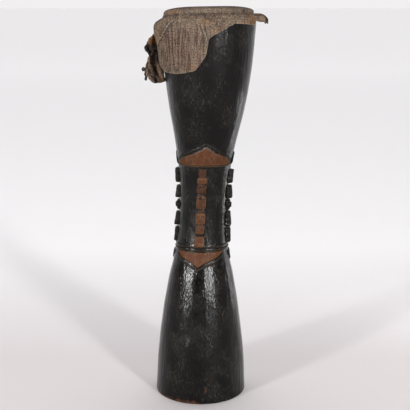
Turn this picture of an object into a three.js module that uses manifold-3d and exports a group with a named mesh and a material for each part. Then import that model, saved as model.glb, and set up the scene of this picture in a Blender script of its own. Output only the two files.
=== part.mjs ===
// Tall hourglass hand drum: a carved hardwood body, hollow from end to end, and a lizard-skin head.
// Millimetres, +Z up, the carved front towards -Y. The drum stands on its open foot at z = 0.
// Azimuths are in degrees from the front, positive towards +X.
import * as THREE from 'three';
import { mergeVertices } from 'three/addons/utils/BufferGeometryUtils.js';
import Module from 'manifold-3d';

const wasm = await Module();
wasm.setup();

// Lengths of the wooden body, from the floor up
const footLength = 400;
const waistLength = 208;
const cupLength = 356;
const collarHeight = 33.6;

// Outer radii of the body
const footRadius = 118.8;
const lowerNeckRadius = 67;
const waistRadius = 61;
const upperNeckRadius = 67.5;
const shoulderRadius = 118;
const rimRadius = 108.6;
const rimRounding = 9.5;
const footChamfer = 2.5;

// Radii of the bore
const footBore = 107;
const throatBore = 38;
const shoulderBore = 99;
const rimBore = 98;

// The trunk leans a little to +X: how far at the rim, and how the lean gathers with height.
// The rim is cut a little out of level, higher on the +X side.
const leanAtRim = 21;
const leanCurve = [[0, 0], [0.3, 0.1], [0.6, 0.53], [0.8, 0.87], [1, 1]];
const rimTilt = 1.8;

// Swelling of the foot and of the cup: share of the length, share of the way to the far radius
const footSwell = [[0, 0], [0.28, 0.13], [0.56, 0.39], [0.79, 0.69], [0.91, 0.9], [1, 1]];
const waistSwell = [[0, 0], [0.5, 0.8], [1, 1]];
const cupSwell = [
  [0, 0], [0.13, 0.145], [0.26, 0.33], [0.4, 0.54], [0.54, 0.7], [0.68, 0.83], [0.82, 0.92], [1, 1],
];

// Carving: the whole pattern is turned a little on the trunk
const carvingTurn = -5.5;
const carvingRoot = 3;
const carvingTip = 1.2;
const plateRelief = 3;
const upperPlate = { base: 7, rise: 47, halfSpan: 68 };
const lowerPlate = { base: 9, rise: 37, halfSpan: 58 };
const ridgeRelief = 2;
const ridgeOffset = 6.5;
const ridgeWidth = 3.2;
const sideUpperPlate = { base: 3, rise: 30, halfSpan: 17 };
const sideLowerPlate = { base: 15, rise: 27, halfSpan: 17 };
const borderRelief = 1.6;
const borderHeight = 3.2;
const upperBorders = [2];
const lowerBorders = [2.5, -6];

// Front pads, from the top of the waist panel down: height of each pad and the gap above it
const padHeights = [22, 16, 22, 33, 28, 20, 28];
const padGaps = [1, 2, 3, 6, 11, 5, 6];
const padHalfSpan = 11;
const padRelief = 5;
const padDrift = 2.5;

// Side blocks in pairs, from the column's middle outwards: gap, height, and the share of the full relief
// that the upper and the lower block have. The column's middle lies a little below the waist's.
const sideBlocks = [[5.5, 4.5, 0.35, 0.35], [3.5, 5, 0.5, 0.5], [2.5, 28, 1.05, 1.05], [6, 37, 1, 0.78]];
const sideColumnDrop = 4;
const sideKnobHeight = 9;
const sideKnobShare = 0.8;
const sideBlockHalfSpan = 12;
const leftBlockRelief = 10;
const rightBlockRelief = 10;

// Head skin
const skinThickness = 2;
const skinGap = 0.5;
const bandHeight = 16;
const creaseDepth = 0.8;
const skirtPuffHeight = 22;

// Lower edge of the skin: azimuth, drop below the crease, how far it stands off the wood
const hem = [
  [-180, 38, 3], [-150, 50, 4], [-126, 40, 5], [-108, 64, 10], [-96, 112, 14], [-78, 138, 10],
  [-48, 140, 4], [-24, 136, 3], [-15, 128, 3], [-6, 98, 3], [0, 60, 3], [12, 40, 3],
  [30, 23, 2], [54, 25, 2], [72, 24, 2], [90, 23, 2], [120, 30, 3], [150, 46, 4], [180, 38, 3],
];

// Dried lobes of skin that stick out sideways. Rows: drop below the crease, inner and outer stand-off
const lobeThickness = 4;
const upperLobe = {
  azimuth: -96, curl: 5, folds: 1.5,
  rows: [[45, 5, 15], [58, 5, 31], [72, 6, 41], [82, 7, 45], [92, 8, 38], [103, 22, 35]],
};
const danglingLobe = {
  azimuth: -101, curl: 8, folds: 2.5,
  rows: [[86, 5, 22], [98, 5, 32], [115, 5, 43], [131, 4, 47], [147, 5, 48], [161, 5, 43], [169, 14, 32]],
};
const knobRadius = 5.5;
const knobDrop = 135;
const knobStandOff = 52;

// Tab on the other side. Columns: stand-off from the shoulder, drop of its upper and lower edge
const tabAzimuth = 80;
const tabCurl = 9;
const tabColumns = [[9, 0, 19], [16, 1, 19], [22, 5, 20], [27, 10, 23], [29, 15, 24]];
const tabThickness = 3.5;
const tabRootDepth = 0.7;

// Facets
const ringSegments = 44;
const patchStep = 12;
const sheetRows = 3;
const roundingSteps = [0, 30, 60, 90];

// Heights worked out from the lengths
const waistBottom = footLength;
const waistTop = waistBottom + waistLength;
const waistMiddle = waistBottom + waistLength / 2;
const shoulderHeight = waistTop + cupLength;
const rimHeight = shoulderHeight + collarHeight;
const headTop = rimHeight + skinGap + skinThickness;
const creaseHeight = rimHeight - bandHeight;

// Value at x of a smooth curve through the points, which never overshoots between them
function smoothThrough(points, x) {
  const last = points.length - 1;
  if (x <= points[0][0]) return points[0][1];
  if (x >= points[last][0]) return points[last][1];
  const slopes = points.slice(1).map((point, i) => (point[1] - points[i][1]) / (point[0] - points[i][0]));
  const tangents = points.map((_, i) => {
    const before = slopes[Math.max(i - 1, 0)];
    const after = slopes[Math.min(i, last - 1)];
    return before * after <= 0 ? 0 : (2 * before * after) / (before + after);
  });
  const i = points.findIndex((point, k) => k < last && x <= points[k + 1][0]);
  const width = points[i + 1][0] - points[i][0];
  const t = (x - points[i][0]) / width;
  const fromStart = (1 + 2 * t) * (1 - t) ** 2 * points[i][1] + t * (1 - t) ** 2 * width * tangents[i];
  const fromEnd = t * t * (3 - 2 * t) * points[i + 1][1] + t * t * (t - 1) * width * tangents[i + 1];
  return fromStart + fromEnd;
}

function swelling(swell, share, from, to) {
  return THREE.MathUtils.lerp(from, to, smoothThrough(swell, share));
}

// Outer radius of the wood at a height, without the carving
function woodRadius(z) {
  if (z < waistBottom) return swelling(footSwell, z / footLength, footRadius, lowerNeckRadius);
  if (z < waistMiddle) {
    return swelling(waistSwell, (2 * (z - waistBottom)) / waistLength, lowerNeckRadius, waistRadius);
  }
  if (z < waistTop) {
    return swelling(waistSwell, (2 * (waistTop - z)) / waistLength, upperNeckRadius, waistRadius);
  }
  if (z < shoulderHeight) {
    return swelling(cupSwell, (z - waistTop) / cupLength, upperNeckRadius, shoulderRadius);
  }
  if (z > creaseHeight) return rimRadius;
  const share = (z - shoulderHeight) / (creaseHeight - shoulderHeight);
  return THREE.MathUtils.lerp(shoulderRadius, rimRadius, share);
}

function boreRadius(z) {
  if (z < waistBottom) return swelling(footSwell, z / footLength, footBore, throatBore);
  if (z < waistTop) return throatBore;
  if (z < shoulderHeight) return swelling(cupSwell, (z - waistTop) / cupLength, throatBore, shoulderBore);
  return THREE.MathUtils.lerp(shoulderBore, rimBore, (z - shoulderHeight) / collarHeight);
}

function leanAt(z) {
  return leanAtRim * smoothThrough(leanCurve, z / rimHeight);
}

// How far the hand-cut rim lifts a point of the cup
function tiltAt(x, z) {
  const share = Math.max((z - waistTop) / (rimHeight - waistTop), 0);
  return (rimTilt * x * share ** 3) / rimRadius;
}

// Point on a circle about the trunk's own axis, before the lean
function polar(azimuth, radius, z) {
  const angle = THREE.MathUtils.degToRad(azimuth);
  return new THREE.Vector3(radius * Math.sin(angle), -radius * Math.cos(angle), z);
}

// Closed solid from points and triangles, turned so that its faces look out
function solidFrom(points, triangles) {
  const cross = new THREE.Vector3();
  const volume = triangles.reduce((sum, [a, b, c]) => {
    return sum + cross.crossVectors(points[a], points[b]).dot(points[c]);
  }, 0);
  const faces = volume < 0 ? triangles.map(([a, b, c]) => [a, c, b]) : triangles;
  const vertProperties = new Float32Array(points.flatMap((point) => point.toArray()));
  const triVerts = new Uint32Array(faces.flat());
  return new wasm.Manifold(new wasm.Mesh({ numProp: 3, vertProperties, triVerts }));
}

// Solid of revolution about Z from a closed outline of [radius, height] points
function turned(outline) {
  const points = [...outline, outline[0]].map(([radius, z]) => new THREE.Vector2(radius, z));
  const lathe = new THREE.LatheGeometry(points, ringSegments);
  lathe.deleteAttribute('normal');
  lathe.deleteAttribute('uv');
  lathe.rotateX(Math.PI / 2);
  const merged = mergeVertices(lathe, 1e-3);
  const position = merged.getAttribute('position');
  const corners = Array.from({ length: position.count }, (_, i) => {
    return new THREE.Vector3().fromBufferAttribute(position, i);
  });
  const index = Array.from(merged.getIndex().array);
  const triangles = [];
  for (let i = 0; i < index.length; i += 3) {
    const triangle = index.slice(i, i + 3);
    if (new Set(triangle).size === 3) triangles.push(triangle);
  }
  return solidFrom(corners, triangles);
}

// Closed solid between two like grids of points, an outer and an inner face
function sheetSolid(front, back) {
  const rows = front.length;
  const columns = front[0].length;
  const points = [...front.flat(), ...back.flat()];
  const at = (side, row, column) => side * rows * columns + row * columns + column;
  const triangles = [];
  const quad = (a, b, c, d) => triangles.push([a, b, c], [a, c, d]);
  for (let r = 0; r < rows - 1; r += 1) {
    for (let c = 0; c < columns - 1; c += 1) {
      quad(at(0, r, c), at(0, r, c + 1), at(0, r + 1, c + 1), at(0, r + 1, c));
      quad(at(1, r, c), at(1, r + 1, c), at(1, r + 1, c + 1), at(1, r, c + 1));
    }
    quad(at(0, r, 0), at(0, r + 1, 0), at(1, r + 1, 0), at(1, r, 0));
    quad(at(0, r, columns - 1), at(1, r, columns - 1), at(1, r + 1, columns - 1), at(0, r + 1, columns - 1));
  }
  for (let c = 0; c < columns - 1; c += 1) {
    quad(at(0, 0, c), at(1, 0, c), at(1, 0, c + 1), at(0, 0, c + 1));
    quad(at(0, rows - 1, c), at(0, rows - 1, c + 1), at(1, rows - 1, c + 1), at(1, rows - 1, c));
  }
  return solidFrom(points, triangles);
}

function heightSteps(from, to, count) {
  return Array.from({ length: count }, (_, i) => from + ((to - from) * i) / count);
}

// Quarter round over the rim, as [radius, height] points
function rimArc(size, topHeight, outerRadius) {
  return roundingSteps.map((degrees) => {
    const turn = THREE.MathUtils.degToRad(degrees);
    return [outerRadius - size * (1 - Math.cos(turn)), topHeight - size * (1 - Math.sin(turn))];
  });
}

// Outline of one low border ring round the trunk
function borderSteps(z) {
  return [[0, 0], [borderRelief, 0], [borderRelief, borderHeight], [0, borderHeight]].map(([lift, rise]) => {
    return [woodRadius(z + rise) + lift, z + rise];
  });
}

// The turned trunk: up the outside, over the rim and down the bore
function trunk() {
  const borders = [
    ...upperBorders.map((rise) => waistTop + rise),
    ...lowerBorders.map((rise) => waistBottom + rise),
  ];
  const outerHeights = [
    ...heightSteps(footChamfer, waistBottom, 5),
    ...heightSteps(waistBottom, waistTop, 4),
    ...heightSteps(waistTop, shoulderHeight, 6),
    shoulderHeight,
    creaseHeight,
  ];
  const clearOfBorders = (z) => borders.every((border) => z < border || z > border + borderHeight);
  const boreHeights = [
    rimHeight,
    ...heightSteps(shoulderHeight, waistTop, 4),
    waistTop,
    ...heightSteps(waistBottom, 0, 4),
    0,
  ];
  const outerFace = [
    ...outerHeights.filter(clearOfBorders).map((z) => [woodRadius(z), z]),
    ...borders.flatMap(borderSteps),
  ].sort((lower, higher) => lower[1] - higher[1]);
  return turned([
    [footRadius - footChamfer, 0],
    ...outerFace,
    ...rimArc(rimRounding, rimHeight, rimRadius),
    ...boreHeights.map((z) => [boreRadius(z), z]),
  ]);
}

// Raised patch on the outer face, between two azimuths, from low(azimuth) to high(azimuth)
function reliefPatch(from, to, low, high, relief) {
  const columns = 2 * Math.ceil((to - from) / patchStep / 2);
  const face = (lift) => [low, high].map((edge) => {
    return Array.from({ length: columns + 1 }, (_, i) => {
      const azimuth = from + ((to - from) * i) / columns;
      const z = edge(azimuth);
      return polar(azimuth, woodRadius(z) + lift, z);
    });
  });
  return sheetSolid(face(relief), face(-carvingRoot));
}

function reliefBlock(middle, halfSpan, bottom, height, relief) {
  return reliefPatch(middle - halfSpan, middle + halfSpan, () => bottom, () => bottom + height, relief);
}

// Pointed plate: a straight base across the trunk and an apex, up or down from it
function pointedPlate(middle, plate, base, direction) {
  const edge = (azimuth) => {
    const share = 1 - Math.abs(azimuth - middle) / plate.halfSpan;
    return base + direction * (carvingTip + (plate.rise - carvingTip) * Math.max(share, 0));
  };
  return reliefPatch(middle - plate.halfSpan, middle + plate.halfSpan, () => base, edge, plateRelief);
}

// Thin ridge that follows the two slanting edges of a pointed plate
function slantingRidge(middle, plate, base, direction) {
  const start = (azimuth) => {
    const share = 1 - Math.abs(azimuth - middle) / plate.halfSpan;
    return base + direction * (plate.rise * Math.max(share, 0) + ridgeOffset);
  };
  const end = (azimuth) => start(azimuth) + direction * ridgeWidth;
  return reliefPatch(middle - plate.halfSpan, middle + plate.halfSpan, start, end, ridgeRelief);
}

// Pointed plates and their ridges above and below the waist panel, front and back
function facePlates(middle) {
  const upperBase = waistTop + upperPlate.base;
  const lowerBase = waistBottom - lowerPlate.base;
  return [
    pointedPlate(middle, upperPlate, upperBase, 1),
    slantingRidge(middle, upperPlate, upperBase, 1),
    pointedPlate(middle, lowerPlate, lowerBase, -1),
    slantingRidge(middle, lowerPlate, lowerBase, -1),
  ];
}

// Column of pads down the front of the waist panel
function frontPads() {
  let top = waistTop;
  return padHeights.map((height, i) => {
    top -= padGaps[i] + height;
    const drift = (padDrift * (waistTop - top)) / waistLength;
    return reliefBlock(carvingTurn - drift, padHalfSpan, top, height, padRelief);
  });
}

// Column of stepped blocks on one side of the waist panel, alike above and below its middle
function sideColumn(middle, relief) {
  const block = (bottom, height, share) => {
    return reliefBlock(middle, sideBlockHalfSpan, bottom, height, relief * share);
  };
  const centre = waistMiddle - sideColumnDrop;
  const blocks = [block(centre - sideKnobHeight / 2, sideKnobHeight, sideKnobShare)];
  let reach = 0;
  for (const [gap, height, upperShare, lowerShare] of sideBlocks) {
    const near = reach + gap;
    blocks.push(block(centre + near, height, upperShare));
    blocks.push(block(centre - near - height, height, lowerShare));
    reach = near + height;
  }
  const upperBase = waistTop + sideUpperPlate.base;
  const lowerBase = waistBottom - sideLowerPlate.base;
  blocks.push(pointedPlate(middle, sideUpperPlate, upperBase, 1));
  blocks.push(pointedPlate(middle, sideLowerPlate, lowerBase, -1));
  return blocks;
}

function drumBody() {
  const carving = [
    ...facePlates(carvingTurn),
    ...facePlates(carvingTurn + 180),
    ...frontPads(),
    ...sideColumn(carvingTurn - 90, leftBlockRelief),
    ...sideColumn(carvingTurn + 90, rightBlockRelief),
  ];
  return carving.reduce((body, piece) => body.add(piece), trunk());
}

function hemDrop(azimuth) {
  return smoothThrough(hem.map(([at, drop]) => [at, drop]), azimuth);
}

function hemStandOff(azimuth) {
  return smoothThrough(hem.map(([at, , standOff]) => [at, standOff]), azimuth);
}

// Outer radius of the skin's skirt at a height
function skirtRadius(azimuth, z) {
  const puff = Math.min((creaseHeight - z) / skirtPuffHeight, 1);
  return woodRadius(z) + skinGap + skinThickness + hemStandOff(azimuth) * Math.max(puff, 0);
}

// Outer and inner point of the skin at each step from the crease of one azimuth back to the centre
function skinSection(azimuth) {
  const drop = hemDrop(azimuth);
  const bandRadius = rimRadius + skinGap + skinThickness;
  const belowShoulder = shoulderHeight - (creaseHeight - drop);
  const skirtHeights = [
    ...[1, 0.75, 0.5, 0.25, 0].map((share) => shoulderHeight - belowShoulder * share),
    THREE.MathUtils.lerp(shoulderHeight, creaseHeight, 0.6),
  ];
  const skirt = skirtHeights.map((z) => {
    const radius = skirtRadius(azimuth, z);
    return [[radius, z], [radius - skinThickness, z]];
  });
  const crease = [
    [bandRadius - creaseDepth, creaseHeight + 1],
    [bandRadius - skinThickness, creaseHeight + 1],
  ];
  const outerArc = rimArc(rimRounding + skinGap + skinThickness, headTop, bandRadius);
  const innerArc = rimArc(rimRounding + skinGap, headTop - skinThickness, bandRadius - skinThickness);
  const corner = outerArc.map((point, i) => [point, innerArc[i]]);
  const head = [0.65].map((share) => {
    const radius = (rimRadius - rimRounding) * share;
    return [[radius, headTop], [radius, headTop - skinThickness]];
  });
  return [...skirt, crease, ...corner, ...head];
}

// The stretched skin with its skirt, one closed shell round the axis
function skinShell() {
  const azimuths = Array.from({ length: ringSegments }, (_, i) => (360 * i) / ringSegments - 180);
  const sections = azimuths.map(skinSection);
  const steps = sections[0].length;
  const points = sections.flatMap((section, i) => {
    return section.flatMap((pair) => pair.map(([radius, z]) => polar(azimuths[i], radius, z)));
  });
  const outerCentre = points.push(new THREE.Vector3(0, 0, headTop)) - 1;
  const innerCentre = points.push(new THREE.Vector3(0, 0, headTop - skinThickness)) - 1;
  const at = (segment, step, side) => ((segment % ringSegments) * steps + step) * 2 + side;
  const triangles = [];
  for (let i = 0; i < ringSegments; i += 1) {
    for (let k = 0; k < steps - 1; k += 1) {
      triangles.push([at(i, k, 0), at(i + 1, k, 0), at(i + 1, k + 1, 0)]);
      triangles.push([at(i, k, 0), at(i + 1, k + 1, 0), at(i, k + 1, 0)]);
      triangles.push([at(i, k, 1), at(i + 1, k + 1, 1), at(i + 1, k, 1)]);
      triangles.push([at(i, k, 1), at(i, k + 1, 1), at(i + 1, k + 1, 1)]);
    }
    triangles.push([at(i, steps - 1, 0), at(i + 1, steps - 1, 0), outerCentre]);
    triangles.push([at(i, steps - 1, 1), innerCentre, at(i + 1, steps - 1, 1)]);
    triangles.push([at(i, 0, 0), at(i, 0, 1), at(i + 1, 0, 1)]);
    triangles.push([at(i, 0, 0), at(i + 1, 0, 1), at(i + 1, 0, 0)]);
  }
  return solidFrom(points, triangles);
}

// Crumpled lobe that stands out from the trunk like a fin and curls as it goes out
function skinLobe({ azimuth, curl, folds, rows }) {
  const face = (side) => rows.map(([drop, inner, outer], row) => {
    return Array.from({ length: sheetRows + 1 }, (_, column) => {
      const share = column / sheetRows;
      const z = creaseHeight - drop;
      const radius = woodRadius(z) + THREE.MathUtils.lerp(inner, outer, share);
      const fold = folds * Math.sin(row * 2.2 + column * 1.7);
      const aside = THREE.MathUtils.radToDeg((side * lobeThickness) / 2 / radius);
      return polar(azimuth + curl * share + fold + aside, radius, z);
    });
  });
  return sheetSolid(face(1), face(-1));
}

function skinKnob() {
  const height = creaseHeight - knobDrop;
  const knob = new THREE.IcosahedronGeometry(knobRadius, 1);
  knob.deleteAttribute('normal');
  knob.deleteAttribute('uv');
  const merged = mergeVertices(knob, 1e-3);
  const azimuth = danglingLobe.azimuth + danglingLobe.curl;
  const middle = polar(azimuth, woodRadius(height) + knobStandOff, height);
  const position = merged.getAttribute('position');
  const points = Array.from({ length: position.count }, (_, i) => {
    return new THREE.Vector3().fromBufferAttribute(position, i).add(middle);
  });
  const index = Array.from(merged.getIndex().array);
  const triangles = Array.from({ length: index.length / 3 }, (_, i) => index.slice(3 * i, 3 * i + 3));
  return solidFrom(points, triangles);
}

// Stiff tab whose root lies in the thickness of the skirt
function skinTab() {
  const [, firstTop, firstBottom] = tabColumns[0];
  const rootRadius = (z) => skirtRadius(tabAzimuth, Math.min(z, creaseHeight)) - skinThickness * tabRootDepth;
  const face = (side) => [0, 0.25, 0.5, 0.75, 1].map((share) => {
    const rootHeight = creaseHeight - THREE.MathUtils.lerp(firstTop, firstBottom, share);
    const root = polar(tabAzimuth, rootRadius(rootHeight), rootHeight);
    const aside = (radius) => THREE.MathUtils.radToDeg((side * tabThickness) / 2 / radius);
    const rest = tabColumns.map(([standOff, top, bottom], column) => {
      const radius = shoulderRadius + standOff;
      const curl = (tabCurl * (column + 1)) / tabColumns.length;
      const z = creaseHeight - THREE.MathUtils.lerp(top, bottom, share);
      return polar(tabAzimuth + curl + aside(radius), radius, z);
    });
    root.applyAxisAngle(new THREE.Vector3(0, 0, 1), THREE.MathUtils.degToRad(aside(root.length())));
    return [root, ...rest];
  });
  return sheetSolid(face(1), face(-1));
}

function headSkin() {
  const lobes = [skinLobe(upperLobe), skinLobe(danglingLobe), skinKnob(), skinTab()];
  return lobes.reduce((skin, lobe) => skin.add(lobe), skinShell());
}

// Mesh of a solid, with the trunk's lean and the rim's tilt put in
function leaningMesh(name, solid, material) {
  const { vertProperties, triVerts } = solid.getMesh();
  const geometry = new THREE.BufferGeometry();
  geometry.setAttribute('position', new THREE.BufferAttribute(new Float32Array(vertProperties), 3));
  geometry.setIndex(new THREE.BufferAttribute(new Uint32Array(triVerts), 1));
  const position = geometry.getAttribute('position');
  for (let i = 0; i < position.count; i += 1) {
    const x = position.getX(i);
    const z = position.getZ(i);
    position.setX(i, x + leanAt(z));
    position.setZ(i, z + tiltAt(x, z));
  }
  geometry.computeVertexNormals();
  const mesh = new THREE.Mesh(geometry, material);
  mesh.name = name;
  return mesh;
}

const blackenedWood = new THREE.MeshStandardMaterial({ color: 0x231f1c, roughness: 0.38, metalness: 0 });
const driedSkin = new THREE.MeshStandardMaterial({ color: 0x80705e, roughness: 0.7, metalness: 0 });

// The whole drum, moved so that the origin lies under the middle of its outer box
function drum() {
  const group = new THREE.Group();
  group.add(leaningMesh('drum_body', drumBody(), blackenedWood));
  group.add(leaningMesh('head_skin', headSkin(), driedSkin));
  const middle = new THREE.Box3().setFromObject(group).getCenter(new THREE.Vector3());
  group.position.set(-middle.x, -middle.y, 0);
  return group;
}

export default drum();
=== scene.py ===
import math

import bpy
import numpy as np
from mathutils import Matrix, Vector, noise


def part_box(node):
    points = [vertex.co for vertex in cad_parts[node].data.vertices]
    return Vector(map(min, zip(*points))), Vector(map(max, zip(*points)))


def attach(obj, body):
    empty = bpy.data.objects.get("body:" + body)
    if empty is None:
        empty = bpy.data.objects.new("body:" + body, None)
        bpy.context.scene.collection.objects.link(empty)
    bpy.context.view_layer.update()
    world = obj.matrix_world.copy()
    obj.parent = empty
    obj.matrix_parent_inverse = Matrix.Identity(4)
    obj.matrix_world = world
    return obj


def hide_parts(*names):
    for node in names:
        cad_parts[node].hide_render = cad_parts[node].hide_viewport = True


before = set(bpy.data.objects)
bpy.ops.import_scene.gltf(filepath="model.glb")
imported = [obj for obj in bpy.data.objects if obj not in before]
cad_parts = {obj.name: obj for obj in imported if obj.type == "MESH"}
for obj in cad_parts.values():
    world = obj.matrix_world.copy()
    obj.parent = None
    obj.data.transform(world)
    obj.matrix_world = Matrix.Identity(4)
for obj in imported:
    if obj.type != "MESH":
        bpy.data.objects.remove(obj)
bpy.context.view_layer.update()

# Sizes of the trunk in millimetres, as the part's source has them
MM = 0.001
FOOT_LENGTH = 400
WAIST_LENGTH = 208
CUP_LENGTH = 356
COLLAR_HEIGHT = 33.6
FOOT_RADIUS = 118.8
LOWER_NECK_RADIUS = 67
WAIST_RADIUS = 61
UPPER_NECK_RADIUS = 67.5
SHOULDER_RADIUS = 118
RIM_RADIUS = 108.6
RIM_ROUNDING = 9.5
FOOT_BORE = 107
THROAT_BORE = 38
SHOULDER_BORE = 99
RIM_BORE = 98
LEAN_AT_RIM = 21
RIM_TILT = 1.8
# Curves of the outline: share of the way, share of the change
LEAN_CURVE = [(0, 0), (0.3, 0.1), (0.6, 0.53), (0.8, 0.87), (1, 1)]
FOOT_SWELL = [(0, 0), (0.28, 0.13), (0.56, 0.39), (0.79, 0.69), (0.91, 0.9), (1, 1)]
WAIST_SWELL = [(0, 0), (0.5, 0.8), (1, 1)]
CUP_SWELL = [
    (0, 0), (0.13, 0.145), (0.26, 0.33), (0.4, 0.54), (0.54, 0.7), (0.68, 0.83), (0.82, 0.92), (1, 1),
]
WAIST_BOTTOM = FOOT_LENGTH
WAIST_TOP = WAIST_BOTTOM + WAIST_LENGTH
WAIST_MIDDLE = WAIST_BOTTOM + WAIST_LENGTH / 2
SHOULDER_HEIGHT = WAIST_TOP + CUP_LENGTH
RIM_HEIGHT = SHOULDER_HEIGHT + COLLAR_HEIGHT
# Only in the scene: how far the rim sinks at its left and right, and how fast that fades below the rim
RIM_SADDLE = 7
SADDLE_FALL = 40

# Relief carving: azimuths in degrees from the front, positive to the right
CARVING_TURN = -5.5
LEFT_SIDE = CARVING_TURN - 90
RIGHT_SIDE = CARVING_TURN + 90
CARVED_SHOULDER = 2.4
PLATE_RELIEF = 3
RIDGE_RELIEF = 2
RIDGE_OFFSET = 6.2
RIDGE_WIDTH = 3.6
RIDGE_GROOVE = 0.7
# Pointed plates: left corner, right corner, apex, base height, rise
FRONT_PLATES = [(-70.5, 63.5, 1.5, 614.6, 46.5), (-60.5, 51, -8, 391.5, -38.5)]
BACK_PLATES = [(106, 242, 172, 615, 47), (116, 232, 176, 391, -37)]
PLATE_BROWN = [0.84, 1, 0.9, 0.9]
SIDE_PLATE_HALF = 17
SIDE_PLATES = [(611, 30), (385, -27)]
BORDER_HEIGHTS = [611.6, 404.1, 395.6]
BORDER_RELIEF = 1.6
BORDER_HALF = 1.7
# Carving that stands out this far is handled less than the plain wood, and is duller
DULL_RELIEF = 0.5
# Pads: lower and upper edge, half width in degrees, relief, how brown the face is
PADS = [
    (586.5, 606.5, 9.5, 3.2, 0.2),
    (567.6, 583, 11, 5, 0.9),
    (542.3, 564.5, 10.8, 5, 0.56),
    (503.3, 536, 11.2, 5.2, 0.8),
    (464.3, 491.5, 11.2, 5.2, 1),
    (439.6, 459.5, 10.4, 4.8, 0.85),
    (404.8, 432.5, 11.4, 5.2, 1),
]
# Low spine that shows between the pads: its stretches, half width in degrees and relief
PAD_SPINE = [(436, 500), (503, 540), (543, 604)]
PAD_SPINE_HALF = 8
PAD_SPINE_RELIEF = 2.4
PAD_TURN = -4.2
PAD_DRIFT = 2.8
# Small cuts in the pads: azimuth, height, half width in degrees, half height, depth
PAD_CUTS = [
    (-8.6, 559.5, 2.2, 3.2, 4), (-1.2, 562, 2.4, 3, 4), (-7, 530.5, 3.2, 3, 4), (-0.1, 545, 2, 2.6, 2.5),
]
# The foot's edge is worn most on the left of the front
FOOT_WEAR_AZIMUTH = -38
FOOT_WEAR_HALF = 44
# Small chips through the soot low on the foot: azimuth, height, size
WORN_CHIPS = [
    (7, 38, 5.5), (-28, 24, 3), (14, 16, 2.6), (-52, 40, 2.4), (61, 30, 2.6), (152, 44, 4), (-140, 20, 3),
]
SIDE_BLOCK_HALF = 12
# Side blocks: lower and upper edge, outer radius at each
LEFT_BLOCKS = [
    (406, 443.4, 73.6, 70.4), (448.4, 483.8, 73.4, 69), (489.8, 496.5, 66, 69), (496, 509, 71.4, 71.4),
    (508.5, 515, 69, 66.5), (520, 552.4, 73, 70), (560, 597, 73, 75.6),
]
RIGHT_BLOCKS = [
    (405, 443.4, 74.6, 72.6), (447.4, 485.8, 75, 70.6), (489.8, 496.5, 67, 70), (496, 509, 72.6, 72.6),
    (508.5, 517, 70, 68), (520, 553.5, 74.4, 71.6), (559.5, 594.5, 72.8, 75.2),
]

# Mesh steps of the trunk: each azimuth with the widest column after it, each height with the widest row
TRUNK_COLUMNS = [
    (-180, 2.6), (-107.5, 1.3), (-83.5, 1.6), (-19.5, 1), (5.5, 1.6), (72.5, 1.3), (96.5, 2.6), (180, 2.6),
]
FINE_STEP = 0.6
STEP_GROWTH = 0.9
CARVED_ROW = 2.4
PLAIN_ROW = 8
CARVED_STRETCH = (345, 672)
CLOSEST_EDGES = 1.4

# The head skin in millimetres
SKIN_GAP = 0.5
CAD_THICKNESS = 2
SKIN_THICKNESS = 1.4
BAND_HEIGHT = 16
CREASE_HEIGHT = RIM_HEIGHT - BAND_HEIGHT
# From the wood to the skin's outer face
SKIN_BUILD = SKIN_GAP + CAD_THICKNESS
HEAD_TOP = RIM_HEIGHT + SKIN_BUILD
BAND_RADIUS = RIM_RADIUS + SKIN_BUILD
OUTER_ROUNDING = RIM_ROUNDING + SKIN_BUILD
# Mesh rings of the head's flat face, by their radius, and how many of them carry the pattern of the face
HEAD_RINGS = [12, 28, 44, 58, 70, 80, 88, 94, 97, 97.3, RIM_RADIUS - RIM_ROUNDING]
FACE_RINGS = 9
CREASE_DEPTH = 1.1
CREASE_HALF = 2.4
PUFF_HEIGHT = 22
PUFF_FALL = 0.5
# Hem: azimuth, drop below the crease
HEM = [
    (-180, 38), (-165, 45), (-150, 50), (-138, 46), (-126, 42), (-116, 52), (-108, 66), (-98, 84), (-90, 98),
    (-84, 107), (-79, 113), (-73, 119), (-68, 124), (-65, 129), (-63, 134), (-58, 137), (-50, 139),
    (-41, 139.7), (-34, 138), (-25.9, 135.8), (-19.5, 133.4), (-15.5, 130), (-12.9, 125), (-9.4, 115.5),
    (-6.7, 108), (-3.6, 99.5), (-2.6, 94), (-1.6, 86), (-0.9, 77), (-0.3, 68), (0.6, 57), (4.6, 50),
    (9.3, 44), (13.8, 39.6), (18.3, 35), (25.1, 26.6), (32.7, 22.3), (39.7, 23), (47.6, 24), (53.9, 25),
    (62, 28), (66, 27), (69, 22), (73, 18), (82, 16), (94, 16), (106, 26), (120, 33), (135, 37), (150, 46),
    (165, 42), (180, 38),
]
# How far the crease sinks below its usual height: azimuth, distance
CREASE_SAG = [
    (-180, 0), (-140, 4), (-105, 7.5), (-85, 7.5), (-66, 4.5), (-48, 1.6), (-30, 0.3), (-10, 0), (180, 0),
]
# How far the skirt stands off the wood: azimuth, distance
STAND_OFF = [
    (-180, 3), (-150, 4), (-126, 5), (-108, 10), (-96, 14), (-78, 10), (-48, 4.5), (-24, 3), (-6, 3),
    (2, 3.4), (12, 3), (30, 1.6), (54, 1), (72, 0.6), (90, 0.6), (120, 1.6), (150, 4), (180, 3),
]
# Folds pressed into the flap: from azimuth and height, to azimuth and height, height of the fold, half width
FOLDS = [
    (-40, 975, -80, 898, 3.2, 3.4),
    (-52, 962, -66, 925, -1.6, 3.4),
    (-8.5, 966, -0.6, 914, 2.6, 3),
    (-13, 950, -3.2, 902, -1.5, 3.2),
    (-30, 958, -34, 880, 1.2, 3),
    (-60, 915, -64, 852, 1.6, 4),
]
SHADE_SIDE = 1.3
SKIRT_ROWS = 64


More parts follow.
